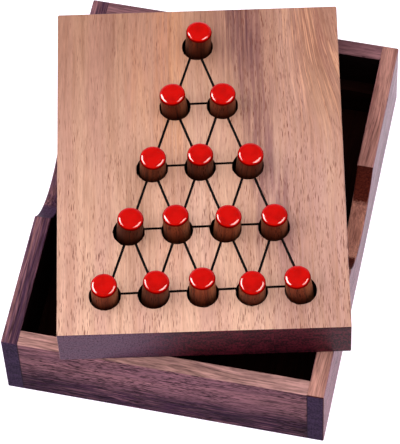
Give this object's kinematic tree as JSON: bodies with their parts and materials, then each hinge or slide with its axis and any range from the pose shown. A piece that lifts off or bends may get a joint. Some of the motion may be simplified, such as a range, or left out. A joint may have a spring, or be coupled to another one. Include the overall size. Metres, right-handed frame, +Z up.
{
  "type": "triangle peg solitaire board",
  "caption": "Wooden triangle peg solitaire: a drilled board with black lines and red-tipped pegs, which rests on and drops into its own open tray.",
  "frame": {"origin": "on the ground under the middle of the tray; the board lies over it, centred to within a millimetre", "axes": "+X across the tray to its right side, +Y along the tray to its back, where the triangle's apex points, +Z up out of the tray"},
  "size_m": [0.145, 0.1712, 0.0688],
  "materials": {
    "tray_wood": "satin",
    "cleat_wood": "satin",
    "floor_wood": "satin",
    "board_wood": "satin",
    "peg_wood": "satin",
    "red_lacquer": "gloss",
    "line_paint": "satin"
  },
  "bodies": {
    "tray": {"left_side": "tray_wood", "right_side": "tray_wood", "front_end": "tray_wood", "back_end": "tray_wood", "bottom_panel": "floor_wood", "front_cleat": "cleat_wood", "back_cleat": "cleat_wood"},
    "board": {"board": "board_wood"},
    "peg_row1_1": {"peg_row1_1": "peg_wood"},
    "peg_row2_1": {"peg_row2_1": "peg_wood"},
    "peg_row2_2": {"peg_row2_2": "peg_wood"},
    "peg_row3_1": {"peg_row3_1": "peg_wood"},
    "peg_row3_2": {"peg_row3_2": "peg_wood"},
    "peg_row3_3": {"peg_row3_3": "peg_wood"},
    "peg_row4_1": {"peg_row4_1": "peg_wood"},
    "peg_row4_2": {"peg_row4_2": "peg_wood"},
    "peg_row4_3": {"peg_row4_3": "peg_wood"},
    "peg_row4_4": {"peg_row4_4": "peg_wood"},
    "peg_row5_1": {"peg_row5_1": "peg_wood"},
    "peg_row5_2": {"peg_row5_2": "peg_wood"},
    "peg_row5_3": {"peg_row5_3": "peg_wood"},
    "peg_row5_4": {"peg_row5_4": "peg_wood"},
    "peg_row5_5": {"peg_row5_5": "peg_wood"}
  },
  "joints": [
    {"name": "board_lift", "type": "slide", "parent": "tray", "child": "board", "axis": [0, 0, 1], "range_m": [0, 0.05]},
    {"name": "peg_row1_1_pull", "type": "slide", "parent": "board", "child": "peg_row1_1", "axis": [0.0448, 0.0833, 0.9955], "range_m": [0, 0.017]},
    {"name": "peg_row2_1_pull", "type": "slide", "parent": "board", "child": "peg_row2_1", "axis": [-0.053, 0.0075, 0.9986], "range_m": [0, 0.017]},
    {"name": "peg_row2_2_pull", "type": "slide", "parent": "board", "child": "peg_row2_2", "axis": [0.0262, -0.0068, 0.9996], "range_m": [0, 0.017]},
    {"name": "peg_row3_1_pull", "type": "slide", "parent": "board", "child": "peg_row3_1", "axis": [0.0546, -0.0229, 0.9982], "range_m": [0, 0.017]},
    {"name": "peg_row3_2_pull", "type": "slide", "parent": "board", "child": "peg_row3_2", "axis": [0.0148, 0.034, 0.9993], "range_m": [0, 0.017]},
    {"name": "peg_row3_3_pull", "type": "slide", "parent": "board", "child": "peg_row3_3", "axis": [0.0836, -0.0034, 0.9965], "range_m": [0, 0.017]},
    {"name": "peg_row4_1_pull", "type": "slide", "parent": "board", "child": "peg_row4_1", "axis": [0.0686, 0.0444, 0.9967], "range_m": [0, 0.017]},
    {"name": "peg_row4_2_pull", "type": "slide", "parent": "board", "child": "peg_row4_2", "axis": [-0.0383, 0.0848, 0.9957], "range_m": [0, 0.017]},
    {"name": "peg_row4_3_pull", "type": "slide", "parent": "board", "child": "peg_row4_3", "axis": [0.0873, 0.0359, 0.9955], "range_m": [0, 0.017]},
    {"name": "peg_row4_4_pull", "type": "slide", "parent": "board", "child": "peg_row4_4", "axis": [0.0118, 0.0215, 0.9997], "range_m": [0, 0.017]},
    {"name": "peg_row5_1_pull", "type": "slide", "parent": "board", "child": "peg_row5_1", "axis": [0.01, -0.0174, 0.9998], "range_m": [0, 0.017]},
    {"name": "peg_row5_2_pull", "type": "slide", "parent": "board", "child": "peg_row5_2", "axis": [0.0815, 0.0484, 0.9955], "range_m": [0, 0.017]},
    {"name": "peg_row5_3_pull", "type": "slide", "parent": "board", "child": "peg_row5_3", "axis": [-0.0175, 0.0886, 0.9959], "range_m": [0, 0.017]},
    {"name": "peg_row5_4_pull", "type": "slide", "parent": "board", "child": "peg_row5_4", "axis": [0.0439, -0.0747, 0.9962], "range_m": [0, 0.017]},
    {"name": "peg_row5_5_pull", "type": "slide", "parent": "board", "child": "peg_row5_5", "axis": [-0.0933, 0.0199, 0.9954], "range_m": [0, 0.017]}
  ]
}
